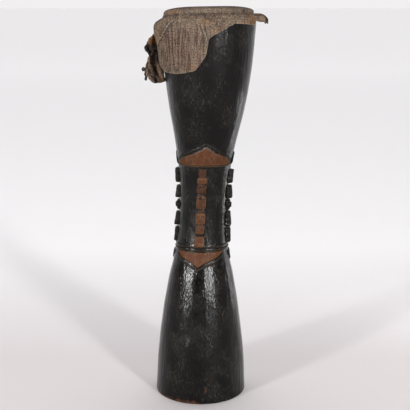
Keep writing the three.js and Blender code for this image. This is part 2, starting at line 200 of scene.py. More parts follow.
def smooth_through(points, x):
    """Smooth curve through the points that never overshoots them."""
    at, values = np.array(points, float).T
    x = np.clip(x, at[0], at[-1])
    steps = np.diff(at)
    slopes = np.diff(values) / steps
    before, after = slopes[:-1], slopes[1:]
    same_way = before * after > 0
    middle = np.where(same_way, 2 * before * after / np.where(same_way, before + after, 1), 0)
    tangents = np.concatenate([slopes[:1], middle, slopes[-1:]])
    i = np.clip(np.searchsorted(at, x, side="right") - 1, 0, len(at) - 2)
    t = (x - at[i]) / steps[i]
    return (
        (2 * t**3 - 3 * t**2 + 1) * values[i]
        + (t**3 - 2 * t**2 + t) * steps[i] * tangents[i]
        + (3 * t**2 - 2 * t**3) * values[i + 1]
        + (t**3 - t**2) * steps[i] * tangents[i + 1]
    )


def swelling(curve, share, start, end):
    return start + (end - start) * smooth_through(curve, share)


def wood_radius(z):
    """Outer radius of the plain trunk."""
    foot = swelling(FOOT_SWELL, z / FOOT_LENGTH, FOOT_RADIUS, LOWER_NECK_RADIUS)
    lower = swelling(WAIST_SWELL, 2 * (z - WAIST_BOTTOM) / WAIST_LENGTH, LOWER_NECK_RADIUS, WAIST_RADIUS)
    upper = swelling(WAIST_SWELL, 2 * (WAIST_TOP - z) / WAIST_LENGTH, UPPER_NECK_RADIUS, WAIST_RADIUS)
    cup = swelling(CUP_SWELL, (z - WAIST_TOP) / CUP_LENGTH, UPPER_NECK_RADIUS, SHOULDER_RADIUS)
    collar = np.interp(z, [SHOULDER_HEIGHT, CREASE_HEIGHT], [SHOULDER_RADIUS, RIM_RADIUS])
    tests = [z < WAIST_BOTTOM, z < WAIST_MIDDLE, z < WAIST_TOP, z < SHOULDER_HEIGHT]
    return np.select(tests, [foot, lower, upper, cup], collar)


def bore_radius(z):
    foot = swelling(FOOT_SWELL, z / FOOT_LENGTH, FOOT_BORE, THROAT_BORE)
    cup = swelling(CUP_SWELL, (z - WAIST_TOP) / CUP_LENGTH, THROAT_BORE, SHOULDER_BORE)
    collar = np.interp(z, [SHOULDER_HEIGHT, RIM_HEIGHT], [SHOULDER_BORE, RIM_BORE])
    tests = [z < WAIST_BOTTOM, z < WAIST_TOP, z < SHOULDER_HEIGHT]
    return np.select(tests, [foot, np.full_like(foot, THROAT_BORE), cup], collar)


def polar(azimuth, radius, z):
    """Points in millimetres about the trunk's own axis."""
    angle = np.radians(azimuth)
    radius = radius + 0 * angle
    return np.stack([radius * np.sin(angle), -radius * np.cos(angle), z + 0 * radius], axis=-1)


def azimuth_of(points):
    return np.degrees(np.arctan2(points[..., 0], -points[..., 1]))


def foot_middle():
    """Middle of the foot in the row frame, in metres."""
    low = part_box("drum_body")[0]
    return low.x + FOOT_RADIUS * MM, low.y + FOOT_RADIUS * MM


def in_place(points):
    """Points about the trunk's axis, with its lean and the rim's tilt, in metres in the row frame."""
    x, y, z = points[..., 0], points[..., 1], points[..., 2]
    lean = LEAN_AT_RIM * smooth_through(LEAN_CURVE, z / RIM_HEIGHT)
    share = np.maximum((z - WAIST_TOP) / (RIM_HEIGHT - WAIST_TOP), 0)
    tilt = RIM_TILT * x * share**3 / RIM_RADIUS - RIM_SADDLE * (x / RIM_RADIUS) ** 4 * share**SADDLE_FALL
    foot_x, foot_y = foot_middle()
    return np.stack([foot_x + (x + lean) * MM, foot_y + y * MM, (z + tilt) * MM], axis=-1)


def lumps(points, size, seed):
    """Smooth noise from about -1 to 1 at each point; size is the lumps' size, one number or three."""
    spots = points.reshape(-1, 3) / np.array(size, float) + 17.3 * seed
    return np.array([noise.noise(spot) for spot in spots.tolist()]).reshape(points.shape[:-1])


def eased(t):
    t = np.clip(t, 0, 1)
    return t * t * (3 - 2 * t)


def graded(marks):
    """Positions through all the marks (place, widest step after it), with finer steps beside each mark."""
    places = [marks[0][0]]
    for (start, widest), (end, _) in zip(marks[:-1], marks[1:]):
        fine = min(FINE_STEP, widest)
        steps = []
        while sum(steps) < end - start:
            gone = sum(steps)
            near = min(gone, end - start - gone)
            steps.append(min(widest, fine + STEP_GROWTH * near))
        scale = (end - start) / sum(steps)
        places.extend(start + scale * np.cumsum(steps))
    return np.array(places)


def shoulder(inside, height):
    """Profile of a cut relief: a steep side with a rounded top edge, by the distance inside its outline."""
    return height * (0.8 * np.clip(inside / FINE_STEP, 0, 1) + 0.2 * eased(inside / CARVED_SHOULDER))


def turned_from(azimuth, middle):
    """Azimuth measured from middle, from -180 to 180 degrees."""
    return (azimuth - middle + 180) % 360 - 180


def inside_plate(azimuth, z, plate):
    """How far inside a pointed plate, and how far above its slanting edge, in millimetres."""
    left, right, apex, base, rise = plate
    middle = (left + right) / 2
    across = turned_from(azimuth, middle)
    left, right, apex = left - middle, right - middle, apex - middle
    side = np.where(across < apex, (across - left) / (apex - left), (right - across) / (right - apex))
    up = (z - base) * math.copysign(1, rise)
    fuller = 0.06 * np.sin(2 * math.pi * side) + 0.03 * np.sin(math.pi * side)
    edge = abs(rise) * np.maximum(side + np.where(side > 0, fuller, 0), -0.2)
    slant = abs(rise) / (math.radians((right - left) / 2) * UPPER_NECK_RADIUS)
    over = up - edge
    within = np.minimum(up, -over / math.sqrt(1 + slant**2))
    return np.where(side > -0.2, within, -50), np.where((side > 0) & (up > -1), over, -50)


def inside_box(azimuth, z, middle, half, low, high, rounding):
    """How far inside a box with rounded corners that is cut into the trunk's face, in millimetres."""
    across = np.abs(np.radians(turned_from(azimuth, middle))) * WAIST_RADIUS
    wide = across - (math.radians(half) * WAIST_RADIUS - rounding)
    tall = np.abs(z - (low + high) / 2) - ((high - low) / 2 - rounding)
    corner = np.hypot(np.maximum(wide, 0), np.maximum(tall, 0))
    return rounding - corner - np.minimum(np.maximum(wide, tall), 0)


def lift_to(layers, name, values):
    """Raises one layer to the values where they are higher."""
    layers[name] = np.maximum(layers[name], values)


def pointed_plates(cut, azimuth, z, wander):
    """Plates with a ridge along their slanting edges, front and back, and small plain ones at the sides."""
    plates = list(zip(FRONT_PLATES + BACK_PLATES, PLATE_BROWN))
    for side in (LEFT_SIDE, RIGHT_SIDE):
        for base, rise in SIDE_PLATES:
            plates.append(((side - SIDE_PLATE_HALF, side + SIDE_PLATE_HALF, side, base, rise), 0))
    for plate, brown in plates:
        inside, over = inside_plate(azimuth, z, plate)
        lift_to(cut, "relief", shoulder(inside + 0.5 * wander, PLATE_RELIEF))
        if brown:
            lift_to(cut, "worn", brown * eased(inside / 1.6 + 0.2 * wander))
            ridge = RIDGE_WIDTH / 2 - np.abs(over - RIDGE_OFFSET - RIDGE_WIDTH / 2 + wander)
            lift_to(cut, "relief", shoulder(ridge, RIDGE_RELIEF))
            lift_to(cut, "rubbed", (0.35 if plate[4] < 0 else 0.1) * eased(ridge))
            lift_to(cut, "rubbed", 0.6 * eased(inside / 0.8) * eased((3.2 - inside) / 2))
            groove = eased(1 - np.abs(over - RIDGE_OFFSET / 2) / (RIDGE_OFFSET / 2))
            cut["relief"] = np.where(inside < 0, cut["relief"] - RIDGE_GROOVE * groove, cut["relief"])


def border_rings(cut, z, wander):
    for height in BORDER_HEIGHTS:
        ring = BORDER_HALF - np.abs(z - height + 0.5 * wander)
        lift_to(cut, "relief", shoulder(ring, BORDER_RELIEF))
        lift_to(cut, "rubbed", (0.5 if height > WAIST_MIDDLE else 0.2) * eased(ring + 0.4 * wander))


def pad_column(cut, azimuth, z, wander):
    """Pads over a low spine, which drift to the left on their way down, with small cuts in their faces."""
    nicks = lumps(polar(azimuth, WAIST_RADIUS, z), 4.5, 9)
    for low, high in PAD_SPINE:
        middle = PAD_TURN - PAD_DRIFT * (WAIST_TOP - z) / WAIST_LENGTH
        inside = inside_box(azimuth, z, middle, PAD_SPINE_HALF, low, high, 2) + 1.4 * wander
        lift_to(cut, "relief", shoulder(inside, PAD_SPINE_RELIEF))
        lift_to(cut, "worn", 0.5 * eased(inside / 2))
    sooty = 0.45 * eased(0.3 + 1.6 * nicks)
    for low, high, half, height, brown in PADS:
        middle = PAD_TURN - PAD_DRIFT * (WAIST_TOP - (low + high) / 2) / WAIST_LENGTH
        inside = inside_box(azimuth, z, middle, half, low, high, 3.2) + 1.2 * wander + 0.9 * nicks
        lift_to(cut, "relief", shoulder(inside, height) + 0.5 * eased(inside / 8) * (inside > 0))
        lift_to(cut, "worn", brown * (1 - sooty) * eased(inside / 1.6 - 0.2))
        lift_to(cut, "rubbed", 0.8 * eased(inside / 0.8) * eased((3.4 - inside) / 2) * brown)
    for middle, height, half, tall, depth in PAD_CUTS:
        inside = inside_box(azimuth, z, middle, half, height - tall, height + tall, 1.2)
        cut["relief"] = cut["relief"] - depth * eased(inside / 1.6 + 0.3)
        cut["worn"] = cut["worn"] * (1 - 0.9 * eased(inside / 1.2 + 0.5))


def side_blocks(cut, azimuth, z, wander):
    plain = wood_radius(z)
    for side, blocks in ((LEFT_SIDE, LEFT_BLOCKS), (RIGHT_SIDE, RIGHT_BLOCKS)):
        for low, high, low_radius, high_radius in blocks:
            rounding = min(4.4, (high - low) / 2.5)
            inside = inside_box(azimuth, z, side, SIDE_BLOCK_HALF, low, high, rounding) + 0.9 * wander
            outer = np.interp(z, [low, high], [low_radius, high_radius])
            lift_to(cut, "relief", shoulder(inside, outer - plain) + 0.8 * wander * (inside > 2))
            lift_to(cut, "rubbed", 0.1 * eased(inside / 0.8) * eased((3 - inside) / 2))


def carving(azimuth, z, wander):
    """Relief over the trunk's plain face, and the masks of the worn brown faces and of the rubbed edges."""
    cut = {layer: np.zeros_like(z) for layer in ("relief", "worn", "rubbed")}
    pointed_plates(cut, azimuth, z, wander)
    border_rings(cut, z, wander)
    pad_column(cut, azimuth, z, wander)
    side_blocks(cut, azimuth, z, wander)
    return cut.pop("relief"), cut


def grid_faces(rows, columns, closed_rows):
    """Faces of a grid whose columns close on themselves."""
    row = np.arange(rows if closed_rows else rows - 1)[:, None]
    column = np.arange(columns)[None, :]
    here = row * columns
    below = (row + 1) % rows * columns
    beside = (column + 1) % columns
    corners = [here + column, here + beside, below + beside, below + column]
    return np.stack(corners, axis=-1).reshape(-1, 4)


def fans(count, first_tip, last_tip, last_ring):
    """Triangles that close the first and the last ring of a grid, each onto its tip."""
    faces = []
    for i in range(count):
        after = (i + 1) % count
        faces += [[first_tip, i, after], [last_tip, last_ring + after, last_ring + i]]
    return faces


def in_scene(name, data):
    made = bpy.data.objects.new(name, data)
    bpy.context.scene.collection.objects.link(made)
    return made


def mesh_piece(name, points, faces, materials, masks, face_materials=None):
    """A closed mesh object in the row frame, with masks as point attributes for the material."""
    mesh = bpy.data.meshes.new(name)
    mesh.from_pydata(points.reshape(-1, 3).tolist(), [], faces)
    mesh.polygons.foreach_set("use_smooth", [True] * len(mesh.polygons))
    for mask, values in masks.items():
        values = np.asarray(values, np.float32)
        kind, key = ("FLOAT_VECTOR", "vector") if values.ndim == 2 else ("FLOAT", "value")
        mesh.attributes.new(mask, kind, "POINT").data.foreach_set(key, values.ravel())
    for material in materials:
        mesh.materials.append(material)
    if face_materials is not None:
        mesh.polygons.foreach_set("material_index", face_materials)
    mesh.validate()
    mesh.update()
    piece = in_scene(name, mesh)
    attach(piece, "root")
    return piece


def carving_edges():
    """Heights at which the carving has an edge, without those that nearly meet another."""
    edges = [plate[3] for plate in FRONT_PLATES] + BORDER_HEIGHTS
    edges += [edge for shape in PADS + RIGHT_BLOCKS for edge in shape[:2]]
    edges += [base for base, _ in SIDE_PLATES]
    apart = []
    for edge in sorted(edges):
        if not apart or edge - apart[-1] > CLOSEST_EDGES:
            apart.append(edge)
    return apart


def foot_wear(points):
    """Mask of the foot's lower edge and of the chips above it, worn through the soot."""
    azimuth = azimuth_of(points)
    height = points[..., 2]
    ragged = 0.9 * lumps(points, 22, 6) + 0.7 * lumps(points, (5, 5, 14), 7)
    reach = 3 + 11 * eased((FOOT_WEAR_HALF - np.abs(turned_from(azimuth, FOOT_WEAR_AZIMUTH))) / 16)
    wear = eased((reach - 2 - height) / 9 + ragged) * (height < 30) * (reach / 14)
    chipped = 0.8 * lumps(points, 5, 8)
    for chip_azimuth, chip_height, half in WORN_CHIPS:
        across = turned_from(azimuth, chip_azimuth) * math.radians(FOOT_RADIUS)
        off = np.hypot(across, height - chip_height)
        wear = np.maximum(wear, eased(1.4 - off / half + chipped))
    return wear


def carved_trunk(materials):
    """The trunk: up the outside with its carving, over the rim, down the bore and under the foot."""
    lowest, highest = CARVED_STRETCH
    marks = [(3, PLAIN_ROW), (lowest, CARVED_ROW), *[(edge, CARVED_ROW) for edge in carving_edges()]]
    marks += [(highest, PLAIN_ROW), (SHOULDER_HEIGHT, PLAIN_ROW), (RIM_HEIGHT - RIM_ROUNDING, PLAIN_ROW)]
    columns = graded(TRUNK_COLUMNS)[:-1]
    azimuth, z = np.meshgrid(columns, graded(marks))
    plain = wood_radius(z)
    on_face = polar(azimuth, plain, z)
    relief, masks = carving(azimuth, z, lumps(on_face, 9, 1))
    waves = 0.7 * lumps(on_face, 46, 2) + 0.35 * lumps(on_face, (16, 16, 34), 3)
    waves += 0.14 * lumps(on_face, (6, 6, 12), 4)
    outer = polar(azimuth, plain + relief + waves, z)
    turns = np.radians([22, 45, 67, 90])
    inwards, down = RIM_ROUNDING * (1 - np.cos(turns)), RIM_ROUNDING * (1 - np.sin(turns))
    rim = zip(RIM_RADIUS - inwards, RIM_HEIGHT - down)
    bore_z = np.concatenate([np.linspace(RIM_HEIGHT, WAIST_TOP, 12), np.linspace(WAIST_BOTTOM, 0, 12)])
    sole = [(FOOT_BORE + 3, 0), (FOOT_RADIUS - 2.6, 0), (FOOT_RADIUS - 0.9, 0.9)]
    rings = [*rim, *zip(bore_radius(bore_z), bore_z), *sole]
    points = np.concatenate([outer, [polar(columns, radius, height) for radius, height in rings]])
    rows, count = points.shape[:2]
    first, last = len(outer) + len(turns), rows - len(sole)
    rough = 0.5 * lumps(points, (30, 30, 60), 5)
    points[first:last - 1, :, :2] *= 1 + rough[first:last - 1, :, None] * 0.02
    padding = ((0, rows - len(outer)), (0, 0))
    dull = np.pad((masks["worn"] > 0.4) | (relief > DULL_RELIEF), padding)
    slots = 2 * dull
    slots[first:last] = 1
    masks = {mask: np.pad(values, padding).ravel() for mask, values in masks.items()}
    masks["foot_wear"] = foot_wear(points).ravel()
    faces = grid_faces(rows, count, True).tolist()
    piece = mesh_piece("carved_trunk", in_place(points), faces, materials, masks, slots.ravel().tolist())
    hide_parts("drum_body")


def pressed_folds(azimuth, z):
    """Folds pressed into the flap: their height, a painted highlight along their crests and painted shade
    beside them.
    """
    height = np.zeros_like(z)
    crest_highlight = np.zeros_like(z)
    shade = np.zeros_like(z)
    for from_azimuth, from_z, to_azimuth, to_z, rise, half in FOLDS:
        scale = math.radians(1) * SHOULDER_RADIUS
        run = np.array([(to_azimuth - from_azimuth) * scale, to_z - from_z])
        length = np.hypot(*run)
        x = (azimuth - from_azimuth) * scale
        y = z - from_z
        along = (x * run[0] + y * run[1]) / length
        off = (x * run[1] - y * run[0]) / length
        reach = eased(along / 12) * eased((length - along) / 12)
        height += rise * reach * np.exp(-np.abs(off / half) ** 1.4)
        if rise > 0:
            # Painted highlight along the fold's crest, painted shade to both sides of it
            crest_highlight = np.maximum(crest_highlight, reach * min(rise / 2.6, 1) * np.exp(-((off / 2.4) ** 2)))
            shade = np.maximum(shade, 0.7 * reach * np.exp(-(((np.abs(off) - SHADE_SIDE * half) / 2) ** 2)))
    return height, crest_highlight, shade


def skirt_radius(azimuth, drop, z):
    """Outer radius of the plain skirt."""
    stand_off = smooth_through(STAND_OFF, azimuth)
    puff = np.sin(np.clip(drop / PUFF_HEIGHT, 0, 1) * math.pi / 2)
    puff = puff - PUFF_FALL * eased((drop - 40) / 30) * eased((-66 - azimuth) / 18)
    return np.maximum(wood_radius(z), RIM_RADIUS) + SKIN_BUILD + stand_off * puff


def skin_columns():
    """Azimuths of the mesh, closest over the flap, with a narrow seam at the back."""
    return np.concatenate([
        [-180, -179.94], np.arange(-178.8, -105, 1.2), np.arange(-105, -8, 0.6), np.arange(-8, 4, 0.4),
        np.arange(4, 180, 1),
    ])


def head_profile():
    """Radius and height from near the head's middle, over the rounded rim and down the band."""
    profile = [(radius, HEAD_TOP) for radius in HEAD_RINGS]
    size = BAND_RADIUS - HEAD_RINGS[-1]
    for turn in np.radians([12, 24, 36, 48, 60, 70, 80, 90]):
        down = OUTER_ROUNDING * (1 - math.cos(turn))
        profile.append((HEAD_RINGS[-1] + size * math.sin(turn), HEAD_TOP - down))
    band_z = np.linspace(HEAD_TOP - OUTER_ROUNDING, CREASE_HEIGHT + 0.3, 7)[1:]
    return np.array(profile + [(BAND_RADIUS, z) for z in band_z])


def head_and_band(columns, sag):
    radius, z = head_profile().T[..., None]
    z = z - sag * eased((HEAD_TOP - z) / (HEAD_TOP - CREASE_HEIGHT))
    over_wood = wood_radius(z) + SKIN_BUILD
    return polar(columns, np.where(z < CREASE_HEIGHT, np.maximum(radius, over_wood), radius), z)


def pleated_skirt(columns, sag):
    """The skirt's points, how far each lies below the crease, and the marks of its pleats, folds and hem,
    with painted light and shade.
    """
    shares = (np.arange(1, SKIRT_ROWS + 1) / SKIRT_ROWS)[:, None]
    rag = lumps(polar(columns, SHOULDER_RADIUS, 0), 9, 11)
    hem = smooth_through(HEM, columns) + 1.6 * rag
    drop = shares**1.15 * hem
    z = CREASE_HEIGHT - drop - sag * (1 - drop / hem)
    plain = skirt_radius(columns, drop, z)
    skirt = polar(columns, plain, z)
    grown = eased(drop / 34)
    pleats = np.abs(lumps(skirt, (7, 7, 80), 12))
    ridges = grown * np.maximum(1 - 2.6 * pleats, 0)
    valleys = grown * eased((pleats - 0.26) / 0.2)
    fine = lumps(skirt, (3.6, 3.6, 30), 13)
    buckle = lumps(skirt, (26, 26, 40), 14)
    fold, crest_highlight, shade = pressed_folds(columns, z)
    loose = 1 - 0.8 * eased((columns - 40) / 30) * eased((140 - columns) / 30)
    lift = loose * (2.6 * ridges - 0.8 * valleys + grown * (0.8 * fine + 1.1 * (buckle + 0.6))) + fold
    lift = np.maximum(lift, 0.3 - smooth_through(STAND_OFF, columns) * grown)
    cut_edge = eased(1 - (hem - drop) / 2.6)
    # Painted highlights on the pleats' ridges and along the folds' crests, painted shade in the pleats'
    # valleys and beside the folds; the pale hem is the hide's cut edge
    marks = {
        "pale": np.maximum(cut_edge, np.maximum(crest_highlight, 0.46 * ridges)),
        "dark": np.maximum(shade, 0.3 * valleys),
    }
    return polar(columns, plain + lift, z), drop, marks


def drawn_in(points, sag):
    """Draws the points in at the crease and ripples them a little; also says how deep in it each lies."""
    above_crease = points[..., 2] - CREASE_HEIGHT + sag
    crease = np.exp(-(((above_crease - 1) / CREASE_HALF) ** 2)) * (np.abs(above_crease) < 9)
    radius = np.hypot(points[..., 0], points[..., 1])
    ripple = lumps(points, (5, 5, 9), 15) * eased((radius - 100) / 10) * 0.35
    points[..., :2] *= ((radius - CREASE_DEPTH * crease + ripple) / np.maximum(radius, 1))[..., None]
    return points, crease


def under_side(outer):
    """Inner face of the skin: below the head and inside the band and the skirt."""
    start = HEAD_TOP - OUTER_ROUNDING
    depth = np.maximum((outer[..., 2] - start) / OUTER_ROUNDING, 0)
    radius = np.hypot(outer[..., 0], outer[..., 1])
    inward = SKIN_THICKNESS * np.sqrt(np.clip(1 - depth**2, 0, 1))
    inner = outer.copy()
    inner[..., :2] *= ((radius - inward) / np.maximum(radius, 1))[..., None]
    inner[..., 2] -= SKIN_THICKNESS * depth
    return inner


def place_on_hide(outer, columns, drop):
    """Where each point lies on the hide in millimetres: seen from above on the head, unrolled elsewhere."""
    profile = head_profile()
    path = np.concatenate([[0], np.cumsum(np.hypot(*np.diff(profile, axis=0).T))])
    v = np.concatenate([path[:, None] + 0 * columns, path[-1] + drop])
    u = np.broadcast_to(np.radians(columns) * SHOULDER_RADIUS, v.shape)
    hide = np.stack([u, v, 0 * u], axis=-1)
    hide[:FACE_RINGS, :, :2] = outer[:FACE_RINGS, :, :2]
    return hide


def skin_marks(outer, crease, skirt_marks):
    """Masks of the stains, with painted shade in the crease, a darker line along the head's top edge, the
    skirt's marks and the fibres.
    """
    azimuth = azimuth_of(outer)
    marks = skin_stains(azimuth, outer[..., 2])
    # Painted shade in the crease, patchy and faint on the right
    patchy = 0.7 + 0.6 * lumps(outer, (14, 14, 40), 23)
    lift_to(marks, "dark", crease * patchy * (0.45 + 0.55 * eased((40 - azimuth) / 60)))
    rings = len(outer) - SKIRT_ROWS
    # A darker line along the head's rounded top edge
    top_edge = np.exp(-(((np.arange(rings) - len(HEAD_RINGS) - 1.5) / 2.4) ** 2))[:, None]
    marks["dark"][:rings] = np.maximum(marks["dark"][:rings], 0.6 * top_edge)
    for mask, values in skirt_marks.items():
        marks[mask][rings:] = np.maximum(marks[mask][rings:], values)
    fibres = lumps(outer, (3.2, 3.2, 26), 16) * (np.hypot(outer[..., 0], outer[..., 1]) > 104)
    streaky = 0.34 + 0.44 * eased(1.5 - np.abs(azimuth - STREAKED_AZIMUTH) / STREAKED_HALF)
    lift_to(marks, "dark", streaky * eased((fibres - 0.1) / 0.3))
    lift_to(marks, "pale", 0.4 * eased((-fibres - 0.1) / 0.3))
    return marks


def skin_shell(material):
    """The stretched skin: the head, the band round the rim, the crease and the skirt with its long flap."""
    columns = skin_columns()
    sag = smooth_through(CREASE_SAG, columns)
    skirt, drop, skirt_marks = pleated_skirt(columns, sag)
    outer, crease = drawn_in(np.concatenate([head_and_band(columns, sag), skirt]), sag)
    rows, count = outer.shape[:2]
    tips = [[0, 0, HEAD_TOP], [0, 0, HEAD_TOP - SKIN_THICKNESS]]
    points = np.concatenate([outer.reshape(-1, 3), under_side(outer)[::-1].reshape(-1, 3), tips])
    faces = grid_faces(2 * rows, count, False)[:, ::-1].tolist()
    faces += fans(count, len(points) - 2, len(points) - 1, (2 * rows - 1) * count)
    masks = {"hide": place_on_hide(outer, columns, drop), **skin_marks(outer, crease, skirt_marks)}
    for mask, values in masks.items():
        both = np.concatenate([values, values[::-1]]).reshape(len(points) - 2, -1)
        masks[mask] = np.pad(both, ((0, 2), (0, 0))).squeeze()
    piece = mesh_piece("skin_shell", in_place(points), faces, [material], masks)
    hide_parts("head_skin")
    return piece


# The hide is most streaked on the right
STREAKED_AZIMUTH = 58
STREAKED_HALF = 12
# Stains on the skin: azimuth, height, half width in degrees, half height, strength
STAINS = {
    "ochre": [
        (-50, 990, 16, 8, 0.7), (-3, 962, 10, 12, 0.55), (12, 944, 9, 10, 0.6), (62, 966, 16, 15, 0.95),
        (52, 962, 14, 10, 0.5), (-18, 858, 9, 10, 0.7), (-70, 930, 10, 26, 0.4), (-84, 950, 10, 22, 0.4),
    ],
    "reddish": [
        (-60, 886, 18, 34, 1), (-14, 882, 10, 30, 0.9), (-30, 856, 16, 10, 0.8), (-44, 930, 9, 16, 0.7),
        (14, 948, 10, 12, 0.5), (-5, 905, 6, 24, 0.4), (-36, 905, 40, 60, 0.9),
    ],
    "dark": [
        (-40, 852, 3, 8, 0.7), (-82, 968, 14, 9, 0.5), (-6, 925, 2.5, 22, 0.6), (-104, 930, 14, 40, 0.7),
        (-25, 845, 3, 5, 0.5), (49, 989, 4, 6, 0.8),
    ],
    "pale": [
        (-26, 968, 24, 6, 0.4), (-2, 958, 8, 8, 0.5), (-58, 946, 3, 14, 0.5), (46, 966, 26, 6, 0.35),
        (0, 932, 3, 20, 0.6), (0, 990, 120, 9, 0.3), (36, 962, 26, 16, 0.3),
    ],
}


def skin_stains(azimuth, z):
    """Stains as masks; their outlines wander."""
    spots = polar(azimuth, SHOULDER_RADIUS, z)
    wander = 0.7 * lumps(spots, 12, 21) + 0.4 * lumps(spots, 5, 22)
    masks = {}
    for kind, places in STAINS.items():
        mask = np.zeros_like(z)
        for middle, height, half, tall, strength in places:
            off = np.hypot(turned_from(azimuth, middle) / half, (z - height) / tall)
            mask = np.maximum(mask, strength * eased(1.25 - off + 0.5 * wander))
        masks[kind] = mask
    return masks


# Shrivelled lobes: each row is the drop below the crease, then the inner and the outer edge from the wood
UPPER_LOBE = {
    "azimuth": -96, "curl": 5, "pleats": 1.6, "pleat_depth": 3.2, "crumple": 3.4, "seed": 31,
    "rows": [
        (44, 6, 14), (50, 6, 22), (58, 6, 31), (66, 7, 37), (74, 7, 41), (82, 8, 44.5), (88, 9, 43),
        (92, 10, 39), (98, 16, 36), (104, 23, 33),
    ],
}
DANGLING_LOBE = {
    "azimuth": -101, "curl": 8, "pleats": 2.4, "pleat_depth": 5, "crumple": 4, "seed": 32,
    "rows": [
        (86, 6, 22), (98, 6, 31), (106, 6, 38), (115, 6, 42.5), (124, 5, 46), (133, 5, 47),
        (142, 5, 47.5), (150, 4, 47.5), (156, 3, 44), (161, 2, 42), (165, 3, 38), (168, 8, 35), (170, 13, 28),
    ],
}
HANGING_STRAND = {
    "azimuth": -101, "curl": 8, "pleats": 0.6, "pleat_depth": 1.5, "crumple": 2, "seed": 33,
    "rows": [
        (132, 45, 47), (138, 46, 49.6), (146, 47.6, 51), (154, 49.6, 51.8), (160, 50.6, 51.8),
        (164, 51.2, 51.7),
    ],
}
LOBE_THICKNESS = 1.8
LOBE_ROWS = 44
LOBE_COLUMNS = 30


def crumpled_sheet(name, middle, normal, thickness, material, masks):
    """Closed sheet about a grid of middle points, thinner at its edges."""
    rows, columns = middle.shape[:2]
    row = np.linspace(-1, 1, rows)[:, None]
    column = np.linspace(-1, 1, columns)[None, :]
    thin = 1 - 0.6 * np.maximum(np.abs(row), np.abs(column)) ** 8
    half = (normal * thin[..., None]) * thickness / 2
    points = np.concatenate([(middle + half).reshape(-1, 3), (middle - half).reshape(-1, 3)])
    count = rows * columns
    at = np.arange(count).reshape(rows, columns)
    corners = [at[:-1, :-1], at[:-1, 1:], at[1:, 1:], at[1:, :-1]]
    front = np.stack(corners, axis=-1).reshape(-1, 4)
    back = front + count
    rim = np.concatenate([at[0, :-1], at[:-1, -1], at[-1, :0:-1], at[:0:-1, 0]])
    after = np.roll(rim, -1)
    wall = np.stack([after, after + count, rim + count, rim], axis=-1)
    faces = np.concatenate([front[:, ::-1], back, wall]).tolist()
    for mask, values in masks.items():
        masks[mask] = np.concatenate([values.reshape(count, -1)] * 2).squeeze()
    piece = mesh_piece(name, in_place(points), faces, [material], masks)
    return piece


def grid_normals(points):
    down = np.gradient(points, axis=0)
    across = np.gradient(points, axis=1)
    normal = np.cross(down, across)
    return normal / np.maximum(np.linalg.norm(normal, axis=-1, keepdims=True), 1e-6)


def between_edges(edges, steps, shares):
    """Grid between two edges: place along them, share of the way across, and place across."""
    table = np.array(edges, float)
    along, share = np.meshgrid(np.linspace(table[0, 0], table[-1, 0], steps), np.linspace(0, 1, shares))
    start = smooth_through(table[:, :2], along)
    end = smooth_through(table[:, [0, 2]], along)
    return along, share, start + (end - start) * share


def shrivelled_lobe(name, lobe, material, tint):
    """Lobe that stands out from the trunk like a fin, pleated and crumpled as it dried."""
    grids = between_edges(lobe["rows"], LOBE_ROWS, LOBE_COLUMNS)
    drop, share, stand_off = [grid.T for grid in grids]
    z = CREASE_HEIGHT - drop
    radius = wood_radius(z) + stand_off
    flat = polar(lobe["azimuth"] + lobe["curl"] * share, radius, z)
    wave = np.sin(2 * math.pi * (lobe["pleats"] * share + 0.02 * drop) + lobe["seed"])
    wave = wave * lobe["pleat_depth"] * (0.3 + 0.7 * share)
    crumple = lobe["crumple"] * lumps(flat, (11, 11, 16), lobe["seed"]) * 1.6
    crumple += 0.35 * lobe["crumple"] * lumps(flat, 4.5, lobe["seed"] + 1)
    aside = np.degrees((wave + crumple) / radius)
    ragged = 2.4 * lumps(flat, 6, lobe["seed"] + 2) * share**3
    middle = polar(lobe["azimuth"] + lobe["curl"] * share + aside, radius + ragged, z)
    ends = eased(np.abs(np.linspace(-1, 1, LOBE_ROWS)))[:, None]
    middle[..., 2] += 1.6 * lumps(flat, 8, lobe["seed"] + 3) * ends
    masks = {"hide": np.stack([stand_off, drop, 0 * drop], axis=-1), **tint(share, drop, middle)}
    return crumpled_sheet(name, middle, grid_normals(middle), LOBE_THICKNESS, material, masks)


def upper_lobe_tint(share, drop, middle):
    wander = 0.12 * lumps(middle, 7, 41)
    low = eased((drop - 66) / 12 + wander * 3)
    return {
        "ochre": (1 - low) * 0.95,
        "reddish": 0.2 * (1 - low),
        "dark": np.clip(low * 0.95 - 0.5 * eased((wander - 0.03) / 0.04) * (drop < 84), 0, 1),
        "pale": 0.15 * eased((share - 0.9) / 0.1),
    }


def strand_tint(share, drop, middle):
    low = eased((drop - 136) / 20)
    return {"reddish": 0.2 + 0 * share, "dark": 0.3 + 0.6 * low}


def dangling_lobe_tint(share, drop, middle):
    wander = 0.15 * lumps(middle, 8, 42)
    slanting = share - 0.42 - 0.16 * (drop - 110) / 50
    # Painted shade in the lobe's hollow
    hollow_shade = eased(1.5 - np.abs(slanting) / 0.11 + wander) * eased((drop - 96) / 10)
    strip = eased(1.3 - np.abs(share - 0.26) / 0.12) * eased((drop - 116) / 10)
    fringe = eased((drop - 158) / 10 + wander)
    dark = 0.85 * hollow_shade + 0.6 * fringe * (1 - strip) + 0.7 * eased((0.14 - share) / 0.08)
    return {
        "ochre": 0.5 * strip,
        "reddish": 0.25 + 0 * share,
        "dark": np.clip(dark, 0, 1),
        "pale": 0.3 * strip + 0.3 * eased((share - 0.7) / 0.1),
    }


TAB_AZIMUTH = 80
TAB_CURL = 9
# Tab: stand-off from the shoulder, drop of its upper and of its lower edge
TAB_EDGES = [
    (-8, -1, 15), (-2, -1.5, 17), (4, -2, 19), (9, -2.2, 20.4), (13, -1.4, 20.6), (17, 0.4, 20.8),
    (20, 2.6, 21.6), (22, 4.8, 26), (23.6, 6.6, 24), (25, 8.2, 23.4), (27, 10.6, 25.4), (29, 15.6, 25.2),
]
TAB_THICKNESS = 2.2
TAB_ROWS = 26
TAB_COLUMNS = 34


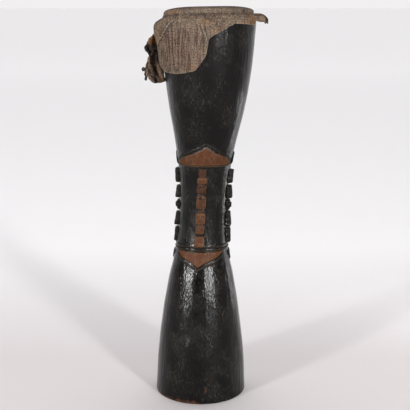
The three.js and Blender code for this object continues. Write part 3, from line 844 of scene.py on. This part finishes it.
def stiff_tab(material):
    """Stiff dried tongue of hide that sticks out on the right."""
    stand_off, share, drop = between_edges(TAB_EDGES, TAB_COLUMNS, TAB_ROWS)
    radius = SHOULDER_RADIUS + stand_off
    out = (stand_off - stand_off.min()) / np.ptp(stand_off)
    z = CREASE_HEIGHT - drop
    flat = polar(TAB_AZIMUTH + TAB_CURL * out, radius, z)
    ridges = 0.9 * np.sin(2 * math.pi * (3.2 * share + 0.4 * out)) + 1.5 * lumps(flat, 9, 51)
    curl = 4 * (share - 0.5) ** 2 * out
    middle = polar(TAB_AZIMUTH + TAB_CURL * out + np.degrees((ridges + curl) / radius), radius, z)
    middle[..., 2] += 0.8 * lumps(flat, 5, 52) * out
    edge = np.maximum(eased((0.2 - share) / 0.12), eased((out + 0.1 * (0.5 - share) - 0.76) / 0.1))
    masks = {
        "hide": np.stack([stand_off, drop, 0 * drop], axis=-1),
        "ochre": 0.3 * (1 - out),
        "reddish": 0.1 + 0 * drop,
        "dark": np.clip(0.9 * edge + 0.35 * eased(lumps(flat, (14, 14, 2.6), 53) * 3), 0, 1),
        "pale": 0.7 * eased(1.3 - np.abs(share - 0.6) / 0.25) * (1 - edge),
    }
    return crumpled_sheet("stiff_tab", middle, grid_normals(middle), TAB_THICKNESS, material, masks)


KNOB_RADIUS = 5.2
KNOB_DROP = 135
KNOB_STAND_OFF = 52
KNOB_STEPS = 20


def dried_knob(material):
    """Hard dried end of the dangling lobe."""
    height = CREASE_HEIGHT - KNOB_DROP
    azimuth = DANGLING_LOBE["azimuth"] + DANGLING_LOBE["curl"]
    middle = polar(azimuth, wood_radius(height) + KNOB_STAND_OFF, height)
    along = np.linspace(0, math.pi, KNOB_STEPS)[1:-1, None]
    around = np.linspace(0, 2 * math.pi, 2 * KNOB_STEPS, endpoint=False)[None, :]
    ball = np.stack([
        np.sin(along) * np.cos(around), np.sin(along) * np.sin(around), np.cos(along) + 0 * around,
    ], axis=-1)
    radius = KNOB_RADIUS * (1 + 0.35 * lumps(ball, 0.7, 61) + 0.12 * lumps(ball, 0.25, 62))
    rings = middle + ball * radius[..., None]
    ends = middle + np.array([[0, 0, 1], [0, 0, -1]]) * KNOB_RADIUS
    points = np.concatenate([rings.reshape(-1, 3), ends])
    rows, count = ball.shape[:2]
    faces = grid_faces(rows, count, False)[:, ::-1].tolist()
    faces += fans(count, rows * count, rows * count + 1, (rows - 1) * count)
    masks = {"hide": points * [1, 1, 0], "dark": np.full(len(points), 0.9)}
    piece = mesh_piece("dried_knob", in_place(points), faces, [material], masks)
    return piece


def linear(hex_colour):
    """sRGB hex colour as linear RGBA."""
    parts = [int(hex_colour[i:i + 2], 16) / 255 for i in (1, 3, 5)]
    return (*[c / 12.92 if c <= 0.04045 else ((c + 0.055) / 1.055) ** 2.4 for c in parts], 1)


def connect(node, links):
    """Gives each input socket of a node its value or the socket that feeds it."""
    for socket, value in links.items():
        if isinstance(value, bpy.types.NodeSocket):
            node.id_data.links.new(value, node.inputs[socket])
        else:
            node.inputs[socket].default_value = value


def add(tree, kind, links, output=0, stops=(), **settings):
    """Adds one shader node with its links, ramp stops and settings, and returns one of its output sockets."""
    made = tree.nodes.new("ShaderNode" + kind)
    for name, value in settings.items():
        setattr(made, name, value)
    connect(made, links)
    if stops:
        elements = made.color_ramp.elements
        while len(elements) < len(stops):
            elements.new(0.5)
        for element, (position, colour) in zip(elements, stops):
            element.position = position
            element.color = linear(colour)
    return made.outputs[output]


def new_material(name):
    material = bpy.data.materials.new(name)
    material.use_nodes = True
    return material, material.node_tree


# Sockets of a colour mix
FACTOR, FIRST, SECOND, BLENDED = 0, 6, 7, 2


def layered(tree, colour, layers):
    """A colour with layers over it: where each lies, how strongly it shows, and its colour."""
    for where, strength, over in layers:
        share = add(tree, "Math", {0: where, 1: strength}, operation="MULTIPLY")
        colour = add(tree, "Mix", {FACTOR: share, FIRST: colour, SECOND: over}, BLENDED, data_type="RGBA")
    return colour


# Patterns in the wood: noise cells per metre across and up the trunk, detail and roughness of the noise
WOOD_PATTERNS = {
    # Grain lines 2 mm wide and about 50 mm long
    "grain": ((500, 500, 20), 3, 0.5),
    # Clouds of thicker and thinner soot, 45 mm across
    "clouds": ((22, 22, 22), 4, 0.5),
    # Small dents and burnished spots, 3 mm across and 8 mm long
    "dents": ((360, 360, 120), 2, 0.42),
    # The dents are crowded in some places and sparse in others, 40 mm apart
    "crowd": ((26, 26, 26), 2, 0.5),
    # Long shallow scrapes of the adze, 9 mm wide and 60 mm long
    "scrapes": ((110, 110, 16), 2, 0.5),
    # Mottled film of dust and old oil, 4 mm wide and 9 mm long
    "mottle": ((240, 240, 110), 4, 0.5),
    # Redder clouds in the bare wood, 13 mm across
    "red_clouds": ((75, 75, 75), 3, 0.5),
}


def carved_hardwood(name, ior, dullness):
    """Dense tropical hardwood, cut with an adze, blackened with soot and oil and polished by handling.
    It shows near-black with brown in the grain and a waxy gloss broken by tool marks; where the carved faces
    are worn bare it is brown. The carving takes the duller of its two variants."""
    material, tree = new_material(name)
    place = add(tree, "TexCoord", {}, "Object")
    noises = {}
    for pattern, (per_metre, detail, roughness) in WOOD_PATTERNS.items():
        stretched = add(tree, "Mapping", {"Vector": place, "Scale": per_metre})
        noises[pattern] = add(tree, "TexNoise", {
            "Vector": stretched, "Scale": 1, "Detail": detail, "Roughness": roughness,
        })
    grain, clouds, dents = noises["grain"], noises["clouds"], noises["dents"]
    masks = ("worn", "rubbed", "foot_wear")
    worn, rubbed, foot_edge = [add(tree, "Attribute", {}, "Fac", attribute_name=mask) for mask in masks]
    soot = add(tree, "ValToRGB", {"Fac": clouds}, stops=[
        (0.38, "#030303"), (0.47, "#060605"), (0.56, "#0C0B0A"), (0.66, "#161412"),
    ])
    mottle = noises["mottle"]
    film = add(tree, "MapRange", {"Value": mottle, "From Min": 0.53, "From Max": 0.8, "To Max": 0.7})
    thicker = add(tree, "MapRange", {"Value": clouds, "From Min": 0.4, "From Max": 0.6, "To Max": 1.7})
    streaks = add(tree, "MapRange", {"Value": grain, "From Min": 0.5, "From Max": 0.72})
    brown = add(tree, "ValToRGB", {"Fac": grain}, stops=[
        (0.3, "#35210F"), (0.5, "#553620"), (0.7, "#6A472A"),
    ])
    redder = add(tree, "MapRange", {"Value": noises["red_clouds"], "From Min": 0.42, "From Max": 0.62})
    brown = layered(tree, brown, [(redder, 1, linear("#4F2A18"))])
    colour = layered(tree, soot, [
        (film, thicker, linear("#35332E")),
        (streaks, 0.3, linear("#2A1E16")),
        (worn, 1, brown),
        (rubbed, 0.4, linear("#8A6540")),
        (foot_edge, 0.75, linear("#4F3424")),
    ])
    gloss = add(tree, "MapRange", {
        "Value": dents, "From Min": 0.32, "From Max": 0.68,
        "To Min": dullness + 0.11, "To Max": dullness + 0.21,
    })
    crowded = add(tree, "MapRange", {
        "Value": noises["crowd"], "From Min": 0.38, "From Max": 0.6, "To Min": 0.25, "To Max": 1.1,
    })
    bump = add(tree, "Bump", {"Height": noises["scrapes"], "Strength": 0.6, "Distance": 0.0022})
    bump = add(tree, "Bump", {"Height": grain, "Strength": 0.4, "Distance": 0.0003, "Normal": bump})
    bump = add(tree, "Bump", {"Height": dents, "Strength": crowded, "Distance": 0.0007, "Normal": bump})
    connect(tree.nodes["Principled BSDF"], {
        "Base Color": colour, "Roughness": gloss, "Normal": bump, "IOR": ior,
    })
    return material


def burnt_bore_wood():
    """The same hardwood inside the bore, burnt and scraped out: dull brown-black with scrape marks."""
    material, tree = new_material("burnt_bore_wood")
    place = add(tree, "TexCoord", {}, "Object")
    # Scrape marks 4 mm wide and 50 mm long
    scrape_place = add(tree, "Mapping", {"Vector": place, "Scale": (250, 250, 20)})
    scrapes = add(tree, "TexNoise", {"Vector": scrape_place, "Scale": 1, "Detail": 5})
    colour = add(tree, "ValToRGB", {"Fac": scrapes}, stops=[
        (0.3, "#1A1410"), (0.55, "#33271E"), (0.75, "#4A3A2B"),
    ])
    bump = add(tree, "Bump", {"Height": scrapes, "Strength": 0.7, "Distance": 0.002})
    connect(tree.nodes["Principled BSDF"], {"Base Color": colour, "Roughness": 0.85, "Normal": bump})
    return material


# The skin's beads in millimetres; they are 2 mm in life and drawn larger so that they show
BEAD_WIDTH = 2.8
BEAD_LENGTH = 3.6


def dried_lizard_skin():
    """Raw lizard skin, stretched wet and dried hard: matt taupe with rows of small bead scales,
    dark between the beads, with ochre and reddish stains, dark shrivelled places and pale cut edges."""
    material, tree = new_material("dried_lizard_skin")
    place = add(tree, "TexCoord", {}, "Object")
    hide = add(tree, "Attribute", {}, "Vector", attribute_name="hide")
    bead_place = add(tree, "Mapping", {"Vector": hide, "Scale": (1 / BEAD_WIDTH, 1 / BEAD_LENGTH, 0)})
    beads = add(tree, "TexVoronoi", {
        "Vector": bead_place, "Scale": 1, "Randomness": 0.6,
    }, voronoi_dimensions="2D")
    rise = add(tree, "MapRange", {
        "Value": beads, "From Min": 0.15, "From Max": 0.62, "To Min": 1, "To Max": 0,
    }, interpolation_type="SMOOTHSTEP")
    between = add(tree, "MapRange", {"Value": rise, "To Min": 1, "To Max": 0})
    bead_tone = add(tree, "SeparateColor", {"Color": beads.node.outputs["Color"]})
    tone = add(tree, "MapRange", {"Value": bead_tone, "To Min": 0.6, "To Max": 1.45})
    # Lighter and darker clouds, 25 mm across
    clouds = add(tree, "TexNoise", {"Vector": place, "Scale": 40, "Detail": 4})
    taupe = add(tree, "ValToRGB", {"Fac": clouds}, stops=[
        (0.3, "#4E3D31"), (0.5, "#6A5645"), (0.7, "#836E58"),
    ])
    colour = add(tree, "Mix", {
        FACTOR: 1.0, FIRST: taupe, SECOND: tone,
    }, BLENDED, data_type="RGBA", blend_type="MULTIPLY")
    masks = ("ochre", "reddish", "pale", "dark")
    ochre, reddish, pale, dark = [add(tree, "Attribute", {}, "Fac", attribute_name=mask) for mask in masks]
    # The pale and dark masks carry the stains and also painted highlights and painted shade on the folds,
    # pleats, crease and the lobe's hollow
    colour = layered(tree, colour, [
        (ochre, 0.8, linear("#94622C")),
        (reddish, 0.66, linear("#60392A")),
        (pale, 0.7, linear("#B5A48C")),
        (between, 0.75, linear("#2E241C")),
        (dark, 1, linear("#241B16")),
    ])
    # Fine wrinkles of the dried hide, 3 mm apart
    wrinkle_place = add(tree, "Mapping", {"Vector": place, "Scale": (300, 300, 50)})
    wrinkles = add(tree, "TexNoise", {"Vector": wrinkle_place, "Scale": 1, "Detail": 3})
    bump = add(tree, "Bump", {"Height": wrinkles, "Strength": 0.8, "Distance": 0.0014})
    bump = add(tree, "Bump", {"Height": rise, "Strength": 0.8, "Distance": 0.0009, "Normal": bump})
    roughness = add(tree, "MapRange", {"Value": rise, "To Min": 0.9, "To Max": 0.7})
    connect(tree.nodes["Principled BSDF"], {
        "Base Color": colour, "Roughness": roughness, "Normal": bump, "IOR": 1.2,
    })
    return material


# The floor reaches this far to every side, in metres
FLOOR_REACH = 400


def pale_floor():
    """Matt white studio paper with painted shade: greyer in front and brightening far behind, in place of the
    studio light's fall-off.
    """
    material, tree = new_material("pale_floor")
    place = add(tree, "TexCoord", {}, "Object")
    depth = add(tree, "SeparateXYZ", {"Vector": place}, "Y")
    behind = add(tree, "MapRange", {"Value": depth, "From Min": 0.2, "From Max": 12.2})
    # Painted shade and light: the ramp greys the paper in front and whitens it towards the back
    colour = add(tree, "ValToRGB", {"Fac": behind}, stops=[
        (0, "#C6C1C2"), (0.1, "#E6E5E6"), (1, "#F8F7F8"),
    ])
    connect(tree.nodes["Principled BSDF"], {"Base Color": colour, "Roughness": 0.9, "IOR": 1.02})
    mesh = bpy.data.meshes.new("floor")
    corners = [(x * FLOOR_REACH, y * FLOOR_REACH, 0) for x, y in ((-1, -1), (1, -1), (1, 1), (-1, 1))]
    mesh.from_pydata(corners, [], [(0, 1, 2, 3)])
    mesh.materials.append(material)
    floor = in_scene("floor", mesh)


# Camera: where it stands from the middle of the foot, its pitch down, and its lens
CAMERA_SIDE = 0.012
CAMERA_DISTANCE = 2.246
CAMERA_HEIGHT = 1.0
CAMERA_PITCH = 12.56
CAMERA_LENS = 78.35


def camera():
    data = bpy.data.cameras.new("camera")
    data.lens = CAMERA_LENS
    data.clip_end = 1000
    made = in_scene("camera", data)
    foot_x, foot_y = foot_middle()
    made.location = (foot_x + CAMERA_SIDE, foot_y - CAMERA_DISTANCE, CAMERA_HEIGHT)
    made.rotation_euler = (math.radians(90 - CAMERA_PITCH), 0, 0)
    bpy.context.scene.camera = made


# Soft boxes and strip: where they stand, what they aim at, their size, all in metres
LEFT_BOX = (-5.4, -5.4, 2.5)
RIGHT_BOX = (3.9, -6.5, 2.5)
BOX_AIM = (0, 0, 0.6)
BOX_SIZE = (0.8, 3.4)
STRIP = (1.05, 0.6, 0.27)
STRIP_AIM = (0, 0, 0.3)
STRIP_SIZE = (0.16, 0.46)


def soft_light(name, place, power, target=BOX_AIM, size=BOX_SIZE, glints_only=False):
    """Rectangular soft box aimed at a point; it may show in glossy surfaces alone."""
    data = bpy.data.lights.new(name, "AREA")
    data.shape = "RECTANGLE"
    data.size, data.size_y = size
    data.energy = power
    made = in_scene(name, data)
    made.visible_camera = False
    made.visible_diffuse = not glints_only
    made.location = place
    made.rotation_euler = (Vector(target) - Vector(place)).to_track_quat("-Z", "Y").to_euler()


def studio_light():
    """Dim room in front, pale backdrop behind, two tall soft boxes with glints stronger than their light,
    a low strip on the right and soft light from above."""
    bpy.context.scene.view_settings.view_transform = "Standard"
    world = bpy.data.worlds.new("studio")
    bpy.context.scene.world = world
    world.use_nodes = True
    tree = world.node_tree
    direction = add(tree, "TexCoord", {}, "Generated")
    towards_back = add(tree, "SeparateXYZ", {"Vector": direction}, "Y")
    brightness = add(tree, "MapRange", {
        "Value": towards_back, "From Min": -0.1, "From Max": 0.75, "To Min": 0.16, "To Max": 0.9,
    }, interpolation_type="SMOOTHSTEP")
    connect(tree.nodes["Background"], {"Color": linear("#FDFBFC"), "Strength": brightness})
    soft_light("left_box", LEFT_BOX, 430)
    soft_light("right_box", RIGHT_BOX, 490)
    soft_light("left_glint", LEFT_BOX, 3000, glints_only=True)
    soft_light("right_glint", RIGHT_BOX, 3250, glints_only=True)
    soft_light("right_strip", STRIP, 1.3, STRIP_AIM, STRIP_SIZE)
    overhead = bpy.data.lights.new("overhead", "SUN")
    overhead.angle = math.radians(60)
    overhead.energy = 1.7
    in_scene("overhead", overhead).rotation_euler = (math.radians(-20), 0, 0)


black_wood = carved_hardwood("blackened_hardwood", ior=1.27, dullness=0)
dull_wood = carved_hardwood("dull_hardwood", ior=1.12, dullness=0.4)
skin = dried_lizard_skin()
carved_trunk([black_wood, burnt_bore_wood(), dull_wood])
shell = skin_shell(skin)
flying = [
    shrivelled_lobe("upper_lobe", UPPER_LOBE, skin, upper_lobe_tint),
    shrivelled_lobe("dangling_lobe", DANGLING_LOBE, skin, dangling_lobe_tint),
    shrivelled_lobe("hanging_strand", HANGING_STRAND, skin, strand_tint),
    dried_knob(skin),
    stiff_tab(skin),
]
pale_floor()
camera()
studio_light()
